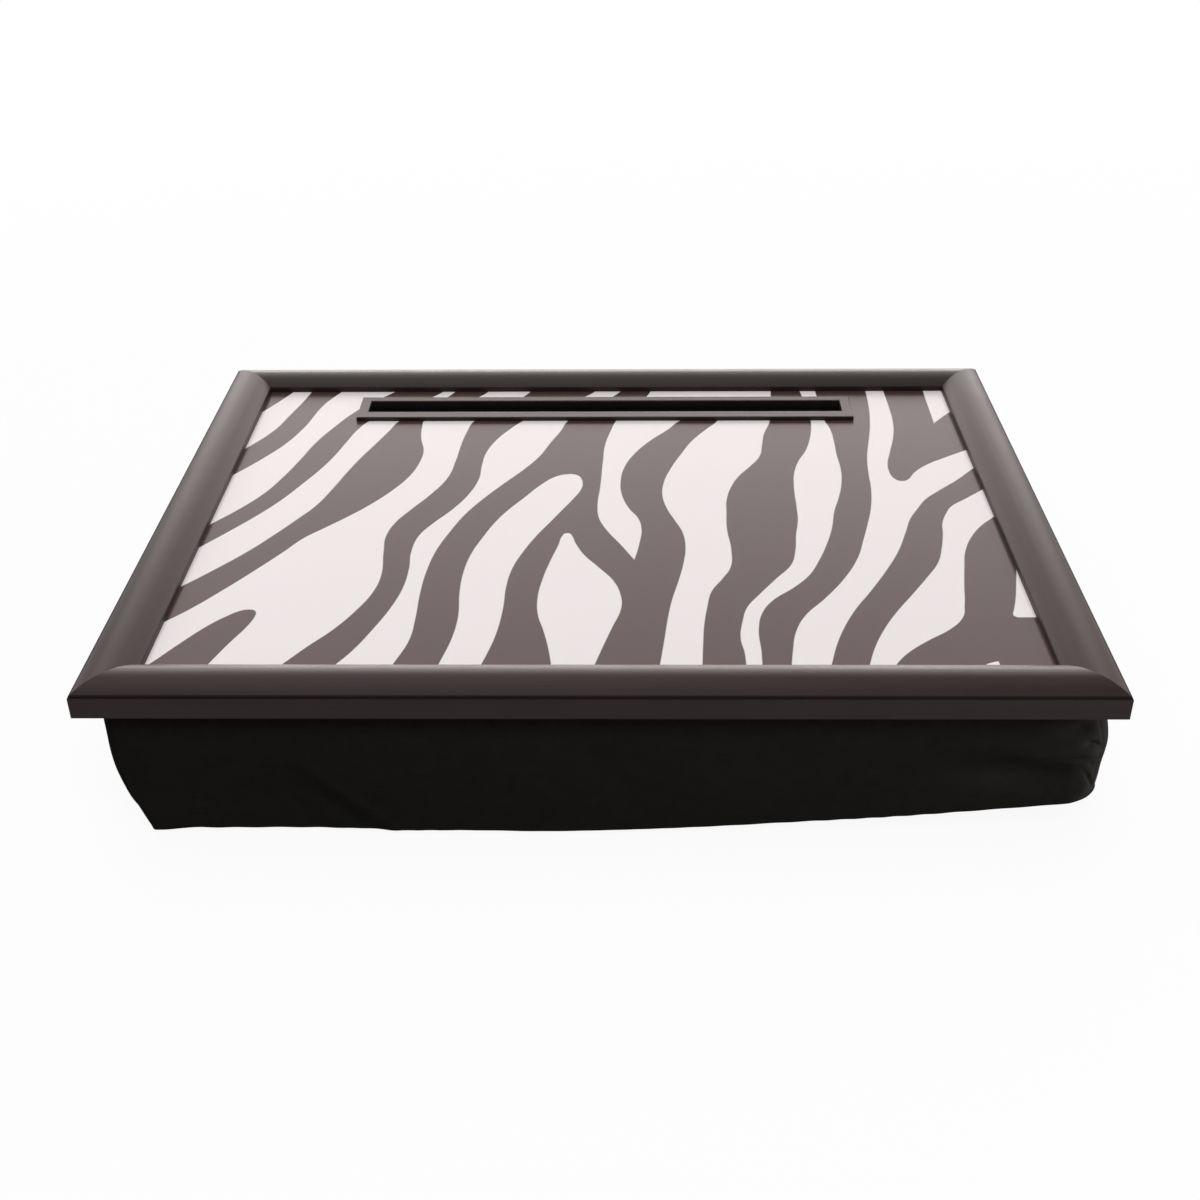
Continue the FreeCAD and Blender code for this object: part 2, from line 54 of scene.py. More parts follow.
class Wire:
    # one socket of a node tree; sums on it add Math nodes, node() adds any other
    def __init__(self, tree, socket=None):
        self.tree = tree
        self.socket = socket

    def node(self, kind, settings=None, inputs=None, output=0):
        made = self.tree.nodes.new(kind)
        for name, value in (settings or {}).items():
            if name == "points":  # a curve's points, left to right
                curve = made.mapping.curves[0]
                for place in value[1:-1]:
                    curve.points.new(*place)
                curve.points[0].location = value[0]
                curve.points[len(value) - 1].location = value[-1]
                made.mapping.update()
            else:
                setattr(made, name, value)
        for name, value in (inputs or {}).items():
            socket = made.inputs[name]
            if isinstance(value, Wire):
                self.tree.links.new(value.socket, socket)
            elif socket.type == "RGBA":
                socket.default_value = (*value, 1)
            else:
                socket.default_value = value
        return Wire(self.tree, None if output is None else made.outputs[output])

    def other(self, output):  # another output of the same node
        return Wire(self.tree, self.socket.node.outputs[output])

    def into(self, shader, name):
        self.tree.links.new(self.socket, shader.inputs[name])

    def maths(self, operation, *values):
        return self.node("ShaderNodeMath", {"operation": operation}, dict(enumerate(values)))

    def mixed(self, first, second):  # colour first where this is 0, second where it is 1
        return self.node("ShaderNodeMix", {"data_type": "RGBA"}, {0: self, 6: first, 7: second}, 2)

    def lower(self, value):
        return self.maths("MINIMUM", self, value)

    def higher(self, value):
        return self.maths("MAXIMUM", self, value)

    def sine(self):
        return self.maths("SINE", self)

    def clamped(self):
        return self.lower(1.0).higher(0.0)

    def __add__(self, value):
        return self.maths("ADD", self, value)

    def __radd__(self, value):
        return self.maths("ADD", value, self)

    def __sub__(self, value):
        return self.maths("SUBTRACT", self, value)

    def __rsub__(self, value):
        return self.maths("SUBTRACT", value, self)

    def __mul__(self, value):
        return self.maths("MULTIPLY", self, value)

    def __rmul__(self, value):
        return self.maths("MULTIPLY", value, self)

    def __truediv__(self, value):
        return self.maths("DIVIDE", self, value)


def newFinish(name, constants):
    material = bpy.data.materials.new(name)
    material.use_nodes = True
    shader = material.node_tree.nodes["Principled BSDF"]
    for socket, value in constants.items():
        shader.inputs[socket].default_value = value
    return material, shader, Wire(material.node_tree)


def noiseOn(start, place, stretch, detail):
    # noise of about one lump to 1 / stretch metres along each axis, with finer layers to the detail
    scaled = start.node("ShaderNodeMapping", {}, {"Vector": place, "Scale": stretch})
    return start.node("ShaderNodeTexNoise", {}, {"Vector": scaled, "Scale": 1.0, "Detail": detail})


def bumpFrom(height, strength, depth):
    inputs = {"Strength": strength, "Distance": depth, "Height": height}
    return height.node("ShaderNodeBump", {}, inputs, "Normal")


def dress(nodeNames, material):
    for name in nodeNames:
        for place in cadNodes[name].material_slots:
            place.material = material


# the rails: brown-black satin paint, drawn out along the moulding, so fine streaks run lengthwise
railPaint = {
    "dark": (0.0168, 0.0102, 0.0099),
    "light": (0.0308, 0.0187, 0.0183),
    # the colour of the shade painted into the groove above the band
    "settled": (0.004, 0.002, 0.002),
    "gloss": 0.15,
    "alongScale": 7.0,  # streaks to the metre, along the rail and across it
    "acrossScale": 1300.0,
    "cloudScale": (45, 45, 45),
    "streakShare": 0.75,  # how much of the shade is streaks, and how much clouds
    "cloudShare": 0.5,
    "shadeDrop": 0.12,
    "roughness": 0.38,
    "roughnessSpread": 0.08,
    "streakStrength": 0.25,
    "streakDepth": 0.00012,
    "quirkHeight": 0.0753,  # metres: the groove above the band, where shade is painted darker
    "quirkHalf": 0.0011,
    "quirkReach": 0.0015,  # how far in from the outer face the painted shade goes
    "quirkFade": 0.0005,
    "quirkCore": 1.6,  # above 1, the painted shade is full over the groove's middle
    "quirkShade": 0.7,
    "quirkRoughness": 0.5,
}


def railFinish(name, lengthwise, outerFace, paint):
    material, shader, start = newFinish(name, {"Specular IOR Level": paint["gloss"]})
    place = start.node("ShaderNodeTexCoord", output="Object")
    stretch = [paint["acrossScale"]] * 3
    stretch[lengthwise] = paint["alongScale"]
    streaks = noiseOn(start, place, stretch, detail=3.0)
    clouds = noiseOn(start, place, paint["cloudScale"], detail=2.0)
    shade = (streaks * paint["streakShare"] + clouds * paint["cloudShare"] - paint["shadeDrop"]).clamped()
    plain = shade.mixed(paint["dark"], paint["light"])
    height = start.node("ShaderNodeSeparateXYZ", {}, {0: place}, "Z")
    level = 1.0 - start.maths("ABSOLUTE", height - paint["quirkHeight"]) / paint["quirkHalf"]
    sideways = start.maths("ABSOLUTE", height.other("YX"[lengthwise]))
    outer = (sideways - (outerFace - paint["quirkReach"])) / paint["quirkFade"]
    settled = (level * paint["quirkCore"]).clamped() * outer.clamped()  # painted shade: 1 in the groove, near the outer face
    # the groove's shade is painted into the base colour here
    (settled * paint["quirkShade"]).mixed(plain, paint["settled"]).into(shader, "Base Color")
    rough = paint["roughness"] + paint["roughnessSpread"] * (clouds - 0.5)
    (rough + settled * paint["quirkRoughness"]).into(shader, "Roughness")
    bumpFrom(streaks, paint["streakStrength"], paint["streakDepth"]).into(shader, "Normal")
    return material


def softenCrest(nodeNames):
    # the crown is two faces in the CAD; welded, they shade as one round
    for name in nodeNames:
        weld = cadNodes[name].modifiers.new("weld", "WELD")
        weld.merge_threshold = 0.00001
        normals = cadNodes[name].modifiers.new("normals", "WEIGHTED_NORMAL")
        normals.keep_sharp = True


rightFace, rearFace = cadBox[1][:2]
softenCrest(["front_rail", "rear_rail", "left_rail", "right_rail"])
dress(["front_rail", "rear_rail"], railFinish("railPaintAcross", 0, rearFace, railPaint))
dress(["left_rail", "right_rail"], railFinish("railPaintDeep", 1, rightFace, railPaint))
print("rails painted")


# the print: white shapes on dark, each between a left and a right edge line, top to bottom, in mm
# from the tray's middle; a "dark" shape is laid over the white ones before it
zebraPrint = {
    "halfWidth": 220.0,
    "softness": 0.35,
    "ink": (0.058, 0.034, 0.032),
    "white": (0.79, 0.745, 0.745),
    "gloss": 0.22,
    "roughness": 0.22,
    "roughnessSpread": 0.08,
    "grainScale": (260, 260, 260),
    "grainStrength": 0.12,
    "grainDepth": 0.0001,  # metres
    "shapes": (
        ("white",
         ((-176, 147), (-182.5, 131.5), (-189.5, 117), (-199, 98), (-214, 55)),
         ((-167, 147), (-170, 130), (-174.5, 111), (-180, 90), (-189, 71.5), (-199, 55))),
        ("white",
         ((-147.5, 147), (-153.5, 135), (-157.5, 125), (-164.5, 92), (-171, 72.5), (-180, 55), (-190.5, 38),
          (-199, 26), (-218, -27)),
         ((-116, 147), (-119.5, 142), (-137.5, 117), (-149, 91), (-154.5, 75), (-159.5, 54), (-164, 37),
          (-170.5, 18), (-180, 0.5), (-190, -14), (-199, -27))),
        ("white",
         ((-90, 147), (-94.5, 138), (-129.5, 102), (-134, 92), (-138, 76), (-142, 59), (-147, 43), (-153, 28),
          (-161, 9.5), (-169, -5), (-177, -17.5), (-190, -36.5), (-199, -49), (-218, -83)),
         ((-84.5, 147), (-87, 138), (-113, 102), (-117, 89.5), (-122, 74), (-128, 56), (-132.5, 40),
          (-137, 22), (-143, 2.5), (-149, -9.5), (-157, -24.5), (-167, -41.5), (-179.5, -59),
          (-190, -72.5), (-199, -83))),
        ("white",
         ((-64.5, 147), (-68.3, 138), (-99, 103), (-99.5, 95), (-98.5, 81), (-95.5, 65), (-96, 52),
          (-100, 34.5), (-106.5, 20), (-115.5, 5), (-124, -6.5), (-134.5, -19), (-142.5, -28.5), (-150, -42),
          (-160, -59), (-171, -76.5), (-183, -94), (-190.5, -103), (-199, -114), (-215, -147)),
         ((-41.5, 147), (-44, 138), (-71.5, 102), (-74.5, 88), (-76.3, 71), (-77.3, 54), (-80, 33), (-86, 17),
          (-95, -1), (-100.5, -13), (-103.5, -27), (-102.7, -42), (-101, -65), (-103, -79.5), (-108.5, -95),
          (-116, -110), (-125, -123.5), (-133, -136.5), (-140, -147))),
        ("dark",
         ((-155.5, -93.2), (-156.8, -93.3), (-158.4, -93.8), (-160.5, -95), (-164.5, -98.7), (-170, -105),
          (-180.5, -121.5), (-188.5, -135.5), (-196, -147)),
         ((-155.5, -93.2), (-154.4, -93.35), (-153.4, -93.9), (-152.6, -94.9), (-152.1, -96.3), (-152, -98),
          (-153.5, -106), (-159, -121), (-164, -136), (-167.5, -147))),
        ("white",
         ((-3, 147), (-7.8, 138), (-45, 101.5), (-51.5, 91), (-57.5, 78.5), (-62, 63), (-63.2, 48),
          (-63.5, 33), (-67, 17), (-74, 0), (-82, -14), (-87.5, -26), (-89.6, -42), (-88.8, -58),
          (-89.5, -74), (-92.5, -90), (-98, -108), (-105.5, -127.5), (-110, -136), (-116, -147)),
         ((11.5, 147), (7, 138), (-20, 102), (-23.5, 89.5), (-28.5, 75), (-33.5, 59), (-41, 43.5),
          (-50.5, 27.5), (-60.5, 9.5), (-67.5, -5.5), (-73, -22), (-77.8, -40), (-80.5, -60), (-81.3, -80),
          (-81, -100), (-81.7, -118), (-84.5, -130), (-90, -147))),
        ("white",
         ((-16.5, 38), (-18, 37.95), (-20, 37.5), (-22, 36.7), (-24.5, 35), (-31.5, 26), (-39, 12.5),
          (-46, 0), (-51.5, -12), (-56.5, -27), (-61, -43.5), (-63.3, -61), (-63.5, -78), (-62.3, -100),
          (-63.5, -117), (-66.2, -132), (-69.5, -147)),
         ((-16.5, 38), (-15.2, 37.8), (-13.8, 37.1), (-12.4, 35.8), (-11.3, 33.5), (-10.4, 28.5),
          (-10.8, 22), (-15.5, 9), (-19.5, 0), (-25, -12.5), (-31, -26), (-36.5, -41), (-41, -57.5),
          (-42.8, -74), (-43, -92), (-44.5, -112), (-47.5, -129), (-52, -147))),
        ("white",
         ((-16.5, -24), (-17.6, -24.4), (-18.6, -26.2), (-20.5, -36), (-23.7, -51), (-26.5, -67),
          (-28, -83), (-27.3, -97), (-24, -111.5), (-21, -128), (-19, -147)),
         ((-16.5, -24), (-15.4, -24.4), (-14.5, -26), (-12, -35), (-7.5, -46), (-1, -56.5), (6, -69),
          (9.3, -82), (9.3, -93), (5.5, -108), (1.2, -125), (-4, -147))),
        ("white",
         ((26.5, 147), (25, 138), (6.5, 102), (3.5, 89), (0.7, 72), (-0.3, 52), (-1.3, 24), (-2.4, 2),
          (-1.3, -10), (3, -22.5), (9, -35), (15.5, -49.5)),
         ((88, 147), (80, 138), (41, 101.5), (35, 91.5), (25, 77.5), (16.5, 62), (11, 46), (9, 30),
          (9.8, 14), (13.5, 0), (17.5, -9), (19.1, -20), (18, -34), (15.5, -49.5))),
        ("white",
         ((50, 147), (58, 138), (66, 126), (62, 102), (55, 90.5), (47, 76.5), (41, 61.5), (35.5, 46),
          (31, 28.5), (30, 14), (32, 0.5), (35.5, -11.5), (38.8, -23), (39.8, -37), (38.3, -53), (35.5, -69),
          (32.3, -84.5), (30, -100), (28, -118), (24.5, -147)),
         ((94.5, 147), (94, 138), (90.5, 101), (86, 84.5), (84, 71), (81.7, 58), (76, 46.5), (70, 36.5),
          (65, 24), (61.8, 9.5), (61, -3), (60.3, -20), (61.2, -40), (59.8, -57), (55.5, -67),
          (50.3, -77.5), (47.6, -91), (45.7, -105), (44.4, -122), (43, -147))),
        ("white",
         ((110, 147), (111, 138), (113, 101.5), (112, 90), (110, 78), (106.5, 64.5), (101.7, 52.5),
          (98.4, 40), (96.7, 25), (95.9, 1), (95.3, -11), (93, -26.5), (91.3, -41), (88, -54.5), (80, -67),
          (71.5, -80.5), (65.5, -91), (62.5, -103), (60.8, -117), (61.8, -128), (61.3, -147)),
         ((119.3, 147), (119.5, 138), (120.5, 102), (122.4, 91), (122.7, 74), (122.3, 60), (122.5, 43),
          (121, 27.5), (117.7, 11.5), (114.3, -1), (110.5, -21), (106.5, -35.5), (101.5, -50), (95, -64.5),
          (87, -75), (77.5, -85), (72, -95), (69.1, -109), (68.9, -127), (68, -147))),
        ("white",
         ((148, 147), (147.3, 122), (144.8, 97), (142, 80), (137.7, 55), (136.2, 38), (135.2, 21),
          (132, -1), (128.7, -15), (124.8, -30), (119.5, -48.5), (111, -67), (100.5, -84), (90.5, -98),
          (85.3, -110.5), (82.2, -127), (79.8, -147)),
         ((215, 147), (210, 75), (199, 53), (190, 43), (180, 31), (170, 20.5), (161, 10.5), (155, 0),
          (150, -10), (145.5, -24), (139.3, -42), (131.5, -59), (121.5, -78), (113, -93), (106, -108.5),
          (101, -123), (97.5, -136.5), (94.5, -147))),
        ("dark",
         ((158, 147), (158.2, 118), (157.5, 98), (154.8, 80), (150.8, 63.5), (147.3, 48), (147, 41),
          (147.6, 35), (148.7, 32.2), (149.8, 30.7), (150.9, 29.95), (152, 29.7)),
         ((215, 147), (210, 85), (199, 71), (190, 64.5), (180, 57.5), (168, 48.5), (160, 39.5), (155.5, 31.7),
          (154.3, 30.5), (153.2, 29.9), (152, 29.7))),
        ("white",
         ((199, 28), (190, 19.5), (181, 11), (172.5, 3), (168, -5.5), (165, -14), (163.2, -25),
          (160.5, -38), (156, -53), (148.5, -66.5), (140, -80.5), (131, -95), (124, -108), (118, -122),
          (113.5, -136.5), (111, -147)),
         ((215, 28), (199, 1), (190, -9), (183, -17), (176.5, -27.5), (171, -41), (167.5, -57),
          (164.5, -73), (161.7, -89), (158.8, -100), (151.5, -109.5), (140.5, -118.5), (131, -127.5),
          (124.5, -136.5), (119, -147))),
        ("white",
         ((181, 147), (180.4, 132), (180, 108), (179.7, 98)),
         ((215, 147), (210, 134), (199, 122), (190, 111.5), (184, 104), (179.7, 98))),
        ("white",
         ((192, -54), (189, -68), (185.3, -84), (182.7, -93), (181.5, -96.8), (181.6, -98.4), (183, -99.6)),
         ((215, -54), (215, -99.6))),
        ("white",
         ((167.5, -134), (164.5, -135), (162.3, -136.2), (160, -147)),
         ((167.5, -134), (168, -147))),
    ),
}


def edgePoints(edge, low, high, halfWidth):
    # an edge line as a curve over the shape's own depth: both run from 0 to 1
    pairs = np.array(edge, float)[::-1]
    along = (pairs[:, 1] - low) / (high - low)
    across = pairs[:, 0] / (2 * halfWidth) + 0.5
    return list(zip(along.tolist(), across.tolist()))


def printFinish(name, laid):
    # the field is how deep inside a white shape a place is, as a share of the width, and below 0 outside
    material, shader, start = newFinish(name, {"Specular IOR Level": laid["gloss"]})
    place = start.node("ShaderNodeTexCoord", output="Object")
    sideways = start.node("ShaderNodeSeparateXYZ", {}, {0: place}, "X")
    depth = sideways.other("Y") / mm
    width = 2 * laid["halfWidth"]
    across = sideways / (width * mm) + 0.5
    field = across * 0.0 - 1.0
    for kind, leftEdge, rightEdge in laid["shapes"]:
        places = [point[1] for point in leftEdge + rightEdge]
        low, high = min(places), max(places)
        along = (depth - low) / (high - low)
        left, right = (
            start.node("ShaderNodeFloatCurve", {"points": edgePoints(edge, low, high, laid["halfWidth"])},
                       {"Value": along})
            for edge in (leftEdge, rightEdge)
        )
        ends = along.lower(1.0 - along) * ((high - low) / width)
        inside = (across - left).lower(right - across).lower(ends)
        field = field.higher(inside) if kind == "white" else field.lower(0.0 - inside)
    mask = (field * (width / laid["softness"]) + 0.5).clamped()
    grain = noiseOn(start, place, laid["grainScale"], detail=2.0)
    mask.mixed(laid["ink"], laid["white"]).into(shader, "Base Color")
    (laid["roughness"] + laid["roughnessSpread"] * (grain - 0.5)).into(shader, "Roughness")
    bumpFrom(grain, laid["grainStrength"], laid["grainDepth"]).into(shader, "Normal")
    return material


dress(["printed_film"], printFinish("zebraLaminate", zebraPrint))
print("print laid:", len(zebraPrint["shapes"]), "shapes")


# the slot: dark moulded plastic with an etched grain, matt, with shade painted nearly black down in the
# trough
slotMoulding = {
    "dark": (0.0165, 0.0098, 0.0092),
    "light": (0.025, 0.0152, 0.0142),
    # the colour of the shade painted down in the trough
    "deep": (0.0022, 0.0013, 0.0012),
    "gloss": 0.22,
    "roughness": 0.36,
    "roughnessSpread": 0.1,
    "deepRoughness": 0.4,
    "troughShadeFrom": 0.0735,  # metres up, below which the painted shade starts, and how soon it is full
    "troughShadeFade": 0.003,
    "cloudScale": (60, 60, 60),
    "grainScale": (2600, 2600, 2600),
    "grainStrength": 0.2,
    "grainDepth": 0.00008,
}


def mouldedFinish(name, plastic):
    material, shader, start = newFinish(name, {"Specular IOR Level": plastic["gloss"]})
    place = start.node("ShaderNodeTexCoord", output="Object")
    grain = noiseOn(start, place, plastic["grainScale"], detail=1.0)
    clouds = noiseOn(start, place, plastic["cloudScale"], detail=2.0)
    plain = clouds.mixed(plastic["dark"], plastic["light"])
    height = start.node("ShaderNodeSeparateXYZ", {}, {0: place}, "Z")
    # painted shade: full down in the trough, fading in above it
    inside = ((plastic["troughShadeFrom"] - height) / plastic["troughShadeFade"]).clamped()
    inside.mixed(plain, plastic["deep"]).into(shader, "Base Color")
    rough = plastic["roughness"] + inside * plastic["deepRoughness"]
    (rough + plastic["roughnessSpread"] * (clouds - 0.5)).into(shader, "Roughness")
    bumpFrom(grain, plastic["grainStrength"], plastic["grainDepth"]).into(shader, "Normal")
    return material


# the board under the print: brown fibres with fine flecks
fibreBoard = {
    "dark": (0.12, 0.066, 0.034),
    "light": (0.24, 0.145, 0.08),
    "gloss": 0.3,
    "roughness": 0.62,
    "roughnessSpread": 0.2,
    "fibreScale": (420, 900, 1500),
    "fleckScale": (2400, 2400, 2400),
    "fibreShare": 0.7,
    "fleckShare": 0.3,
    "fibreStrength": 0.3,
    "fibreDepth": 0.0002,
}


def boardFinish(name, board):
    material, shader, start = newFinish(name, {"Specular IOR Level": board["gloss"]})
    place = start.node("ShaderNodeTexCoord", output="Object")
    fibres = noiseOn(start, place, board["fibreScale"], detail=4.0)
    flecks = noiseOn(start, place, board["fleckScale"], detail=1.0)
    shade = fibres * board["fibreShare"] + flecks * board["fleckShare"]
    shade.mixed(board["dark"], board["light"]).into(shader, "Base Color")
    (board["roughness"] + board["roughnessSpread"] * (fibres - 0.5)).into(shader, "Roughness")
    bumpFrom(fibres, board["fibreStrength"], board["fibreDepth"]).into(shader, "Normal")
    return material


# nails, points and staples: drawn zinc-coated steel
zincSteel = {
    "dark": (0.32, 0.32, 0.33),
    "light": (0.52, 0.52, 0.53),
    "roughness": 0.34,
    "roughnessSpread": 0.2,
    "drawnScale": (300, 300, 2500),
    "drawnStrength": 0.15,
    "drawnDepth": 0.00005,
}


def steelFinish(name, steel):
    material, shader, start = newFinish(name, {"Metallic": 1.0})
    place = start.node("ShaderNodeTexCoord", output="Object")
    drawn = noiseOn(start, place, steel["drawnScale"], detail=2.0)
    drawn.mixed(steel["dark"], steel["light"]).into(shader, "Base Color")
    (steel["roughness"] + steel["roughnessSpread"] * (drawn - 0.5)).into(shader, "Roughness")
    bumpFrom(drawn, steel["drawnStrength"], steel["drawnDepth"]).into(shader, "Normal")
    return material


dress(["tablet_slot"], mouldedFinish("slotMoulding", slotMoulding))
dress(["tray_panel"], boardFinish("fibreBoard", fibreBoard))
dress(["corner_nails", "panel_points", "hem_staples"], steelFinish("zincSteel", zincSteel))
print("slot, board and steel finished")


# the cushion: a boxed cloth bag of loose beads under the frame. Outlines are left, right, front and
# rear in mm and the radii of the front right, rear right, rear left and front left corners.
cushionForm = {
    "sideColumns": (104, 60, 72, 60),  # along the front, right, rear and left
    "cornerColumns": 20,
    "sideRows": 36,  # hem to lower seam, and from there to the base
    "underRows": 10,
    "hem": (-206, 207.6, -156, 156, (12, 8, 6, 3)),
    "belly": (-205.8, 216.6, -159.2, 159.5, (19, 12, 8, 4)),
    "seam": (-193.6, 212.4, -160.2, 158, (16, 9, 6, 1.5)),
    "base": (-184, 46, -150, 150, (25, 25, 25, 25)),
    "bellyShare": 0.5,  # how far down the side the belly is
    "hemHeight": 64.8,
    # rings over the top: share of the hem's outline, and height
    "topRows": ((0.35, 63.3), (0.6, 63.3), (0.8, 63.3), (0.9, 63.5), (0.95, 64.8)),
    "baseRows": (0.86, 0.68, 0.45),  # rings on the floor: shares of the base's outline
    "underSag": 1.7,  # above 1, the underside drops fast from the seam
    # the lower seam's height at some places, left to right
    "frontSeam": ((-193, 1.4), (-185, 1.8), (-176, 3.2), (-168, 2.6), (-150, 2.3), (-116, 2.2), (-100, 1.9),
                  (-86, 1.7), (-56, 1.9), (-30, 1.6), (0, 2.2), (43, 4.0), (80, 6.2), (120, 8.6), (170, 12.9),
                  (208, 16.6)),
    "rearSeam": ((-193, 1.0), (-150, 2.6), (-90, 1.0), (-30, 2.2), (40, 2.6), (110, 5.5), (160, 9.0),
                 (208, 11.5)),
    "clothQuality": 6,
    "clothMass": 0.25,
    "pressure": 4.0,
    "frames": 20,
    "farthest": 5.0,  # mm that a point may move as the bag fills
    "evenings": 6,  # smoothing passes over these moves
    "seamHold": 0.85,  # 1 is held fast
    "sideHold": 0.02,
}


def smoothThrough(points, places):
    # a smooth line through a few points: cubic Hermite pieces, slopes taken from the neighbours
    known, values = np.array(points, float).T
    slopes = np.gradient(values, known)
    left = np.clip(np.searchsorted(known, places) - 1, 0, len(known) - 2)
    span = known[left + 1] - known[left]
    t = np.clip((places - known[left]) / span, 0, 1)
    return ((1 + 2 * t) * (1 - t) ** 2 * values[left] + t * (1 - t) ** 2 * span * slopes[left]
            + t * t * (3 - 2 * t) * values[left + 1] + t * t * (t - 1) * span * slopes[left + 1])


def ringOutline(form, outline):
    # four straight sides and four quarter circles, from the front left corner round by the right
    left, right, front, rear, radii = outline
    corners = ((right, front, -1, 1), (right, rear, -1, -1), (left, rear, 1, -1), (left, front, 1, 1))
    turn = np.linspace(0, np.pi / 2, form["cornerColumns"] + 1)
    arcs = []
    for k, ((x, y, inX, inY), radius) in enumerate(zip(corners, radii)):
        angle = turn + (k - 1) * np.pi / 2
        centre = np.array((x + inX * radius, y + inY * radius))
        arcs.append(centre + radius * np.column_stack((np.cos(angle), np.sin(angle))))
    parts = []
    for k, count in enumerate(form["sideColumns"]):
        share = np.linspace(0, 1, count + 1)[:-1, None]
        parts += [arcs[k - 1][-1] * (1 - share) + arcs[k][0] * share, arcs[k][:-1]]
    return np.concatenate(parts)


def cushionRows(form):
    # rings from the top's middle over the hem, down the side to the lower seam, and under to the base:
    # the side is a parabola through hem, belly and seam, the underside sags from the seam to the floor
    hem, belly, seam, base = (ringOutline(form, form[name]) for name in ("hem", "belly", "seam", "base"))
    back = np.clip((seam[:, 1] - form["seam"][2]) / (form["seam"][3] - form["seam"][2]), 0, 1)
    back = back * back * (3 - 2 * back)
    seamHeight = (smoothThrough(form["frontSeam"], seam[:, 0]) * (1 - back)
                  + smoothThrough(form["rearSeam"], seam[:, 0]) * back)
    rows = [np.column_stack((hem * share, np.full(len(hem), height))) for share, height in form["topRows"]]
    b = form["bellyShare"]
    for q in np.linspace(0, 1, form["sideRows"] + 1):
        flat = (hem * (q - b) * (q - 1) / b + belly * q * (1 - q) / (b * (1 - b))
                + seam * q * (q - b) / (1 - b))
        rows.append(np.column_stack((flat, form["hemHeight"] * (1 - q) + seamHeight * q)))
    for w in np.linspace(0, 1, form["underRows"] + 1)[1:]:
        rows.append(np.column_stack((seam * (1 - w) + base * w, seamHeight * (1 - w) ** form["underSag"])))
    middle = base.mean(0)
    for share in form["baseRows"]:
        rows.append(np.column_stack((middle + (base - middle) * share, np.zeros(len(base)))))
    return np.array(rows)


def meshFromRows(name, rows):
    # quads between neighbouring rings, and one face to close each end
    rowCount, columnCount = rows.shape[:2]
    index = np.arange(rowCount * columnCount).reshape(rowCount, columnCount)
    ahead = np.roll(index, -1, axis=1)
    quads = np.stack((index[:-1], index[1:], ahead[1:], ahead[:-1]), axis=-1).reshape(-1, 4)
    mesh = bpy.data.meshes.new(name)
    ends = [index[0].tolist(), index[-1][::-1].tolist()]
    mesh.from_pydata((rows.reshape(-1, 3) * mm).tolist(), [], quads.tolist() + ends)
    mesh.shade_smooth()
    return mesh


def evened(moves, passes):
    # each point keeps half of its own move and takes a quarter of each neighbour's, round and then down
    for turn in range(passes):
        moves = (np.roll(moves, 1, 1) + 2 * moves + np.roll(moves, -1, 1)) / 4
        moves[1:-1] = (moves[:-2] + 2 * moves[1:-1] + moves[2:]) / 4
    return moves


def fillBag(rows, form):
    # the bag as cloth under the beads' pressure: hem and top held, the seam nearly so
    mesh = meshFromRows("bagTrial", rows)
    trial = bpy.data.objects.new("bagTrial", mesh)
    bpy.context.scene.collection.objects.link(trial)
    hold = trial.vertex_groups.new(name="hold")
    columnCount = rows.shape[1]
    hemRow = len(form["topRows"])
    seamRow = hemRow + form["sideRows"]
    for row in range(rows.shape[0]):
        weight = 1.0 if row <= hemRow else form["seamHold"] if row == seamRow else form["sideHold"]
        hold.add(list(range(row * columnCount, (row + 1) * columnCount)), weight, "REPLACE")
    cloth = trial.modifiers.new("cloth", "CLOTH")
    cloth.settings.quality = form["clothQuality"]
    cloth.settings.mass = form["clothMass"]
    cloth.settings.use_pressure = True
    cloth.settings.uniform_pressure_force = form["pressure"]
    cloth.settings.vertex_group_mass = hold.name
    cloth.settings.effector_weights.gravity = 0
    cloth.point_cache.frame_start = 1
    cloth.point_cache.frame_end = form["frames"]
    for step in range(1, form["frames"] + 1):
        bpy.context.scene.frame_set(step)
    settled = trial.evaluated_get(bpy.context.evaluated_depsgraph_get()).to_mesh()
    places = np.empty(len(settled.vertices) * 3, np.float32)
    settled.vertices.foreach_get("co", places)
    bpy.data.objects.remove(trial)
    bpy.data.meshes.remove(mesh)
    bpy.context.scene.frame_set(1)
    move = places.reshape(rows.shape) / mm - rows
    far = np.linalg.norm(move, axis=2, keepdims=True)
    print("bag filled, largest move %.1f mm" % far.max())
    capped = move * np.minimum(1, form["farthest"] / np.maximum(far, 1e-6))
    return rows + evened(capped, form["evenings"])


def twiceAsFine(rows):
    # new points midway between the old ones, on the cubic through four neighbours
    def between(a, b, c, d):
        return (9 * (b + c) - a - d) / 16
    halfway = between(np.roll(rows, 1, 1), rows, np.roll(rows, -1, 1), np.roll(rows, -2, 1))
    rows = np.stack((rows, halfway), axis=2).reshape(rows.shape[0], -1, 3)
    padded = np.concatenate((2 * rows[:1] - rows[1:2], rows, 2 * rows[-1:] - rows[-2:-1]))
    middle = between(padded[:-3], padded[1:-2], padded[2:-1], padded[3:])
    finer = np.empty((2 * len(rows) - 1, *rows.shape[1:]))
    finer[::2] = rows
    finer[1::2] = middle
    return finer


def outward(rows):
    # unit normals of the rings: the way down the rows crossed with the way round
    wayDown = np.gradient(rows, axis=0)
    wayRound = np.roll(rows, -1, 1) - np.roll(rows, 1, 1)
    normal = np.cross(wayDown, wayRound)
    return normal / np.maximum(np.linalg.norm(normal, axis=2, keepdims=True), 1e-9)


cushion = cushionRows(cushionForm)
cushion = fillBag(cushion, cushionForm)
cushion = twiceAsFine(cushion)
cushion[..., 2] = np.maximum(cushion[..., 2], 0)


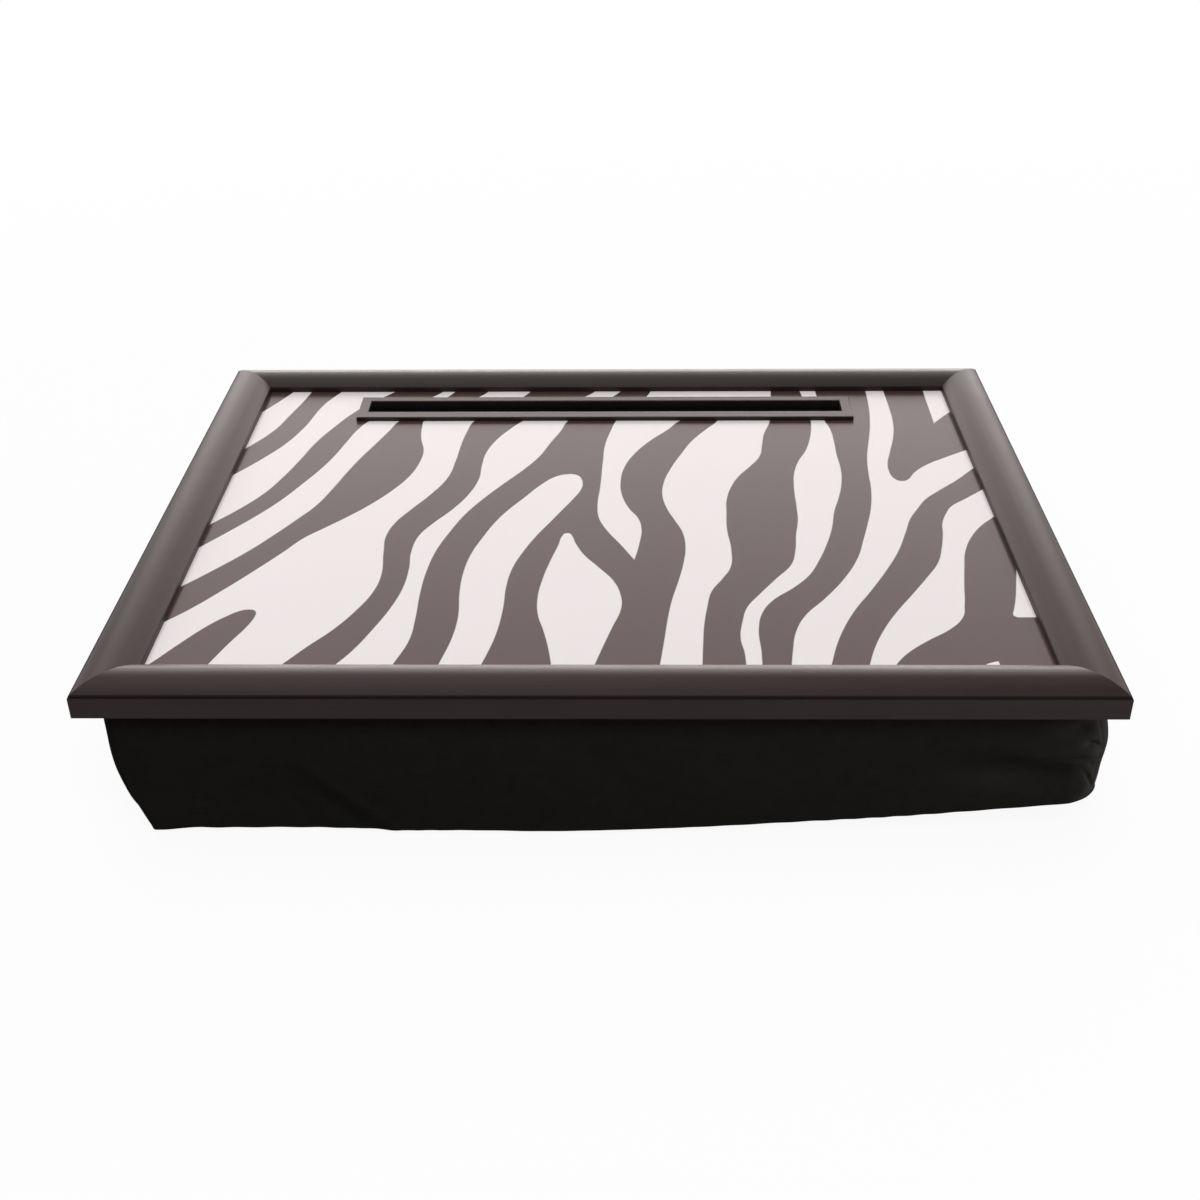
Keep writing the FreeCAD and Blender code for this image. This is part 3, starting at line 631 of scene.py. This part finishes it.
# folds, gathers and seams, on the filled bag; lengths in mm
clothFolds = {
    "seamGroove": (0.4, 0.5, 0.4, 0.25),
    "seamWidth": 1.0,
    "heldShare": 0.15,  # below the hem, moves grow over this share of the side
    "heldRows": 14,  # under the lower seam, they fade over these rows
    "gatherFade": 0.125,  # above the lower seam, gathers die out over this share of the side
    "gatherLoss": 0.85,  # and lose this much of their depth
    # small gathers beside a corner seam: way round from it, height, length, width, depth, tilt in degrees
    "gathers": (
        (-12, 57.0, 8, 3.8, -2.4, 0),
        (-7.4, 49.8, 2.4, 0.9, -1.7, 0),
        (-3.2, 47.8, 3.6, 0.9, -1.6, 37),
        (-8.5, 45.6, 4.2, 2.4, 1.3, 4),
        (-11, 42.4, 9, 1.5, -1.5, 6),
        (-4.0, 37.5, 3.0, 1.2, -0.8, 30),
        (-2.4, 29.0, 5.0, 0.9, -1.9, 48),
        (-7.0, 26.5, 3.4, 3.8, 1.2, 12),
    ),
    # front right, rear right, rear left and front left corner; below 0 they are mirrored
    "gatherStrength": (1.0, -0.7, 0.6, 0.0),
    "gatherLift": (-3, 4, -3, 6),
    # long soft folds: which corner they start from, then as above
    "drags": (
        (0, -28, 43.5, 23, 4.2, 2.6, 1),
        (0, -28, 32.0, 24, 6.5, -4.2, 1),
        (3, 28, 9, 15, 3.5, 0.8, -25),
        (3, 44, 22, 26, 5.0, -0.6, -32),
        (1, 60, 38, 46, 6.0, 0.9, 3),
        (1, -56, 30, 44, 6.0, 0.8, -4),
        (2, 52, 34, 44, 6.0, -0.9, 3),
        (2, -60, 24, 50, 6.0, 0.9, 5),
    ),
    "puckerDepth": 0.1,  # small waves along the lower seam
    "puckerReach": 4.1,
    "puckerWave": 2.3,
    "puckerDrift": (2.2, 17.0),  # how far the waves shift along the seam, and over what length
    "puckerSwell": (0.6, 0.4, 41.0),  # their least and added strength, and its length
    "frontLimit": -140,  # the front is where y is below this
    "slantFold": (-103, 17, 26, 3.0, 0.6, 43),  # x, height, length, width, depth and tilt, on the front
    "slantHollow": (-110, 13, 22, 3.0, -0.5, 43),
    "slack": 0.35,  # broad shallow waves over the side: share, length, turn down the side and start
    "slackWaves": ((0.5, 19.0, 3.1, 0.0), (0.4, 11.3, -4.0, 1.0), (0.35, 37.0, 6.0, 2.0)),
}


def dent(along, high, length, width, depth, tilt):
    # one long bump or hollow: a bell over a slanting ellipse
    turn = np.radians(tilt)
    a = along * np.cos(turn) - high * np.sin(turn)
    b = along * np.sin(turn) + high * np.cos(turn)
    return depth * np.exp(-(a / length) ** 2 - (b / width) ** 2)


def bagMeasures(rows, form):
    # the hem's and the seam's row on the finer grid, the length round the belly and the mean length down
    hemRow = 2 * len(form["topRows"])
    seamRow = hemRow + 2 * form["sideRows"]
    girth = np.linalg.norm(np.roll(rows, -1, 1) - rows, axis=2)[(hemRow + seamRow) // 2]
    steps = np.linalg.norm(np.diff(rows, axis=0), axis=2).mean(1)
    around = np.concatenate(((0,), np.cumsum(girth)))
    fall = np.concatenate(((0,), np.cumsum(steps)))
    return hemRow, seamRow, around, fall


def layFolds(rows, form, folds):
    # moves along the normal, each a bell, wave or groove that dies away from its seam
    hemRow, seamRow, around, fall = bagMeasures(rows, form)
    total = around[-1]
    around = around[None, :-1]
    rowNumber = np.arange(rows.shape[0])[:, None]
    sideShare = np.clip((rowNumber - hemRow) / (seamRow - hemRow), 0, 1)
    underShare = np.clip((seamRow + folds["heldRows"] - rowNumber) / folds["heldRows"], 0, 1)
    held = np.clip(sideShare / folds["heldShare"], 0, 1) * underShare
    nearSeam = 1 - folds["gatherLoss"] * np.exp(-((1 - sideShare) / folds["gatherFade"]) ** 2)
    x, y, z = rows[..., 0], rows[..., 1], rows[..., 2]
    push = np.zeros(rows.shape[:2])
    ways = []
    columns, corner = form["sideColumns"], form["cornerColumns"]
    for k in range(4):
        seamColumn = 2 * (sum(columns[:k + 1]) + corner * k + corner // 2)
        way = (around - around[0, seamColumn] + total / 2) % total - total / 2
        ways.append(way)
        push -= folds["seamGroove"][k] * np.exp(-(way / folds["seamWidth"]) ** 2) * nearSeam
        strength, lift = folds["gatherStrength"][k], folds["gatherLift"][k]
        for off, height, length, width, depth, tilt in folds["gathers"]:
            along, high = way * np.sign(strength) - off, z - height - lift
            push += dent(along, high, length, width, depth * abs(strength), tilt) * nearSeam
    for k, off, height, length, width, depth, tilt in folds["drags"]:
        push += dent(ways[k] - off, z - height, length, width, depth, tilt)
    lowSeam = np.exp(-np.abs(fall - fall[seamRow]) / folds["puckerReach"])[:, None]
    drift, driftLength = folds["puckerDrift"]
    least, added, swellLength = folds["puckerSwell"]
    ripple = np.sin(around / folds["puckerWave"] + drift * np.sin(around / driftLength))
    push += folds["puckerDepth"] * lowSeam * ripple * (least + added * np.sin(around / swellLength))
    front = y < folds["frontLimit"]
    for name in ("slantFold", "slantHollow"):
        across, height, length, width, depth, tilt = folds[name]
        push += front * dent(x - across, z - height, length, width, depth, tilt)
    slack = sum(share * np.sin(around / length + turn * sideShare + start)
                for share, length, turn, start in folds["slackWaves"])
    push += folds["slack"] * slack * np.sin(np.pi * sideShare)
    moved = rows + outward(rows) * (push * held)[..., None]
    moved[..., 2] = np.maximum(moved[..., 2], 0)
    return moved


cushion = layFolds(cushion, cushionForm, clothFolds)


def clothMap(mesh, rows, form):
    # weave coordinates in metres: round and down on the side, plain x and y on the top and underneath
    hemRow, seamRow, around, fall = bagMeasures(rows, form)
    rowCount, columnCount = rows.shape[:2]
    r, c = np.meshgrid(np.arange(rowCount - 1), np.arange(columnCount), indexing="ij")
    cornerRow = np.stack((r, r + 1, r + 1, r), -1)
    cornerColumn = np.stack((c, c, c + 1, c + 1), -1)
    side = np.stack((around[cornerColumn], -fall[cornerRow]), -1)
    flat = rows[cornerRow, cornerColumn % columnCount, :2]
    onSide = ((r >= hemRow) & (r < seamRow))[..., None, None]
    quads = np.where(onSide, side, flat).reshape(-1, 2)
    caps = np.concatenate((rows[0, :, :2], rows[-1, ::-1, :2]))
    layer = mesh.uv_layers.new(name="weave")
    layer.data.foreach_set("uv", (np.concatenate((quads, caps)) * mm).astype(np.float32).ravel())


blackCloth = {
    "dark": (0.0078, 0.0074, 0.0066),
    "light": (0.0180, 0.0172, 0.0153),
    "gloss": 0.015,
    "threadPitch": 0.0007,  # metres
    "slubScale": (90, 900, 1),  # thick places in the yarn
    "lumpScale": (130, 130, 130),  # beads that show through
    "threadShare": 0.35,  # what each adds to the shade
    "slubShare": 0.45,
    "lumpShare": 0.35,
    "shadeDrop": 0.1,
    "roughness": 0.85,
    "roughnessSpread": 0.12,
    "slubRelief": 0.6,  # beside the threads' own
    "lumpRelief": 1.5,
    "weaveStrength": 0.35,
    "weaveDepth": 0.00012,
}


def clothFinish(name, cloth):
    # plain weave: warp and weft waves, each on top in turn like a chequerboard
    material, shader, start = newFinish(name, {"Specular IOR Level": cloth["gloss"]})
    spread = start.node("ShaderNodeUVMap", {"uv_map": "weave"})
    turns = 2 * np.pi / cloth["threadPitch"]
    around = start.node("ShaderNodeSeparateXYZ", {}, {0: spread}, "X")
    warp = (around * turns).sine()
    weft = (around.other("Y") * turns).sine()
    threads = warp * weft * 0.5 + 0.5
    slubs = noiseOn(start, spread, cloth["slubScale"], detail=3.0)
    place = start.node("ShaderNodeTexCoord", output="Object")
    lumps = noiseOn(start, place, cloth["lumpScale"], detail=2.0)
    yarn = threads * cloth["threadShare"] + slubs * cloth["slubShare"]
    shade = (yarn + lumps * cloth["lumpShare"] - cloth["shadeDrop"]).clamped()
    shade.mixed(cloth["dark"], cloth["light"]).into(shader, "Base Color")
    (cloth["roughness"] + cloth["roughnessSpread"] * (slubs - 0.5)).into(shader, "Roughness")
    relief = threads + slubs * cloth["slubRelief"] + lumps * cloth["lumpRelief"]
    bumpFrom(relief, cloth["weaveStrength"], cloth["weaveDepth"]).into(shader, "Normal")
    return material


cushionMesh = meshFromRows("cushion", cushion)
clothMap(cushionMesh, cushion, cushionForm)
cushionMesh.materials.append(clothFinish("blackCloth", blackCloth))
bag = bpy.data.objects.new("cushion", cushionMesh)
bpy.context.scene.collection.objects.link(bag)
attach(bag, "root")
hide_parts("cushion_cover", "cushion_top_cloth", "bead_fill")
print("cushion:", len(cushionMesh.polygons), "faces")


# camera, floor and light
cameraView = {
    "place": (0.0106, -0.6768, 0.4382),
    "pitch": 31.72,  # degrees down
    "yaw": 1.03,  # to the left
    "roll": 0.54,
    "lens": 46.68,
    "sensor": 36.0,
    "nearest": 0.02,
}
studio = {
    "floorSize": 12.0,
    "floorDrop": 0.0004,  # keeps it clear of the cushion's base
    "floorGrey": 0.88,  # as the camera sees it; the object is lit by the bounce below
    "floorBounce": 0.22,
    "floorGlow": 0.92,  # how much of the floor that the camera sees is plain white, near the tray
    "floorNear": 0.5,  # metres from the middle: from here it turns plain white
    "floorFade": 0.8,  # over so many more
    "ambient": 0.14,
    "frontGlow": 0.06,  # what gloss sees in front of the tray, and behind it
    "rearGlow": 1.0,
    "glowTurn": 1.2,  # how fast one gives way to the other
    "glowTint": (1.0, 0.9, 0.885),
    "lowGlow": 4.6,  # what the bright foot of the backdrop adds, straight behind and low
    "lowBelow": 0.34,  # share of a ray that points up, and its fade
    "lowFade": 0.1,
    "straightFrom": 0.86,  # share of a ray that points to the rear, and its fade
    "straightFade": 0.08,
    "lamps": (  # name, place, aim, width, height, watts, colour, share of it that gloss shows
        ("rearSoftbox", (0.0, 1.75, 0.95), (0.0, 0.0, 0.3), 2.8, 1.8, 24.0, (1.0, 0.945, 0.94), 1.0),
        ("topSoftbox", (-0.3, 0.2, 1.85), (0.0, 0.0, 0.07), 1.6, 1.6, 13.0, (1.0, 1.0, 1.0), 1.0),
        ("frontSoftbox", (0.2, -1.4, 1.9), (0.0, 0.0, 0.05), 1.4, 0.9, 20.0, (1.0, 1.0, 1.0), 0.0),
        ("rightStrip", (1.2, -0.24, 0.07), (0.21, -0.15, 0.04), 0.8, 0.1, 20.0, (1.0, 1.0, 1.0), 0.0),
        ("leftSoftbox", (-2.2, 0.1, 0.8), (0.0, 0.0, 0.05), 1.0, 0.8, 7.0, (1.0, 1.0, 1.0), 0.0),
    ),
}


def makeCamera(seen):
    pitch, yaw, roll = np.radians([seen["pitch"], seen["yaw"], seen["roll"]])
    level = np.array((-np.sin(yaw), np.cos(yaw), 0))
    right = np.array((np.cos(yaw), np.sin(yaw), 0))
    up = np.array((0, 0, 1))
    ahead = np.cos(pitch) * level - np.sin(pitch) * up
    down = -np.sin(pitch) * level - np.cos(pitch) * up
    across = np.cos(roll) * right + np.sin(roll) * down
    below = np.cos(roll) * down - np.sin(roll) * right
    lens = bpy.data.cameras.new("camera")
    lens.lens = seen["lens"]
    lens.sensor_width = seen["sensor"]
    lens.clip_start = seen["nearest"]
    camera = bpy.data.objects.new("camera", lens)
    bpy.context.scene.collection.objects.link(camera)
    turned = np.eye(4)
    turned[:3, 0], turned[:3, 1], turned[:3, 2], turned[:3, 3] = across, -below, -ahead, seen["place"]
    camera.matrix_world = Matrix(turned.tolist())
    bpy.context.scene.camera = camera


def seenRays(start):
    path = start.node("ShaderNodeLightPath", output="Is Camera Ray")
    return path, path.other("Is Glossy Ray").higher(path.other("Is Transmission Ray"))


def makeFloor(room):
    half = room["floorSize"] / 2
    mesh = bpy.data.meshes.new("floor")
    corners = ((-half, -half), (half, -half), (half, half), (-half, half))
    mesh.from_pydata([(x, y, -room["floorDrop"]) for x, y in corners], [], [(0, 1, 2, 3)])
    floor = bpy.data.objects.new("floor", mesh)
    bpy.context.scene.collection.objects.link(floor)
    material = bpy.data.materials.new("paleFloor")
    material.use_nodes = True
    tree = material.node_tree
    tree.nodes.clear()
    start = Wire(tree)
    camera, gloss = seenRays(start)
    paint = camera.mixed([room["floorBounce"]] * 3, [room["floorGrey"]] * 3)
    matt = start.node("ShaderNodeBsdfDiffuse", {}, {"Color": paint})
    glow = start.node("ShaderNodeEmission", {}, {"Color": (1, 1, 1), "Strength": 1.0})
    place = start.node("ShaderNodeTexCoord", output="Object")
    away = start.node("ShaderNodeVectorMath", {"operation": "LENGTH"}, {0: place}, "Value")
    far = ((away - room["floorNear"]) / room["floorFade"]).clamped()
    share = camera.higher(gloss) * (far * (1.0 - room["floorGlow"]) + room["floorGlow"])
    both = start.node("ShaderNodeMixShader", {}, {0: share, 1: matt, 2: glow})
    start.node("ShaderNodeOutputMaterial", {}, {"Surface": both}, None)
    mesh.materials.append(material)


def makeWorld(room):
    world = bpy.data.worlds.new("studio")
    world.use_nodes = True
    tree = world.node_tree
    tree.nodes.clear()
    start = Wire(tree)
    camera, gloss = seenRays(start)
    toward = start.node("ShaderNodeTexCoord", output="Generated")
    deep = start.node("ShaderNodeSeparateXYZ", {}, {0: toward}, "Y")
    behind = (deep * room["glowTurn"] + 0.5).clamped()
    low = ((room["lowBelow"] - deep.other("Z")) / room["lowFade"]).clamped()
    straight = ((deep - room["straightFrom"]) / room["straightFade"]).clamped()
    backdrop = behind * (room["rearGlow"] - room["frontGlow"]) + room["frontGlow"]
    mirrored = backdrop + straight * low * room["lowGlow"]
    unseen = gloss * (mirrored - room["ambient"]) + room["ambient"]
    strength = camera + (1.0 - camera) * unseen
    tint = gloss.mixed((1, 1, 1), room["glowTint"])
    sky = start.node("ShaderNodeBackground", {}, {"Color": tint, "Strength": strength})
    start.node("ShaderNodeOutputWorld", {}, {"Surface": sky}, None)
    bpy.context.scene.world = world


def makeLamps(room):
    for name, place, aim, width, height, watts, colour, mirrored in room["lamps"]:
        light = bpy.data.lights.new(name, "AREA")
        light.shape = "RECTANGLE"
        light.size, light.size_y, light.energy, light.color = width, height, watts, colour
        light.specular_factor = mirrored
        lamp = bpy.data.objects.new(name, light)
        bpy.context.scene.collection.objects.link(lamp)
        lamp.location = place
        lamp.rotation_euler = (Vector(aim) - Vector(place)).to_track_quat("-Z", "Y").to_euler()
        lamp.visible_camera = False


makeCamera(cameraView)
makeFloor(studio)
makeWorld(studio)
makeLamps(studio)
bpy.context.scene.view_settings.view_transform = "Standard"
print("studio ready")
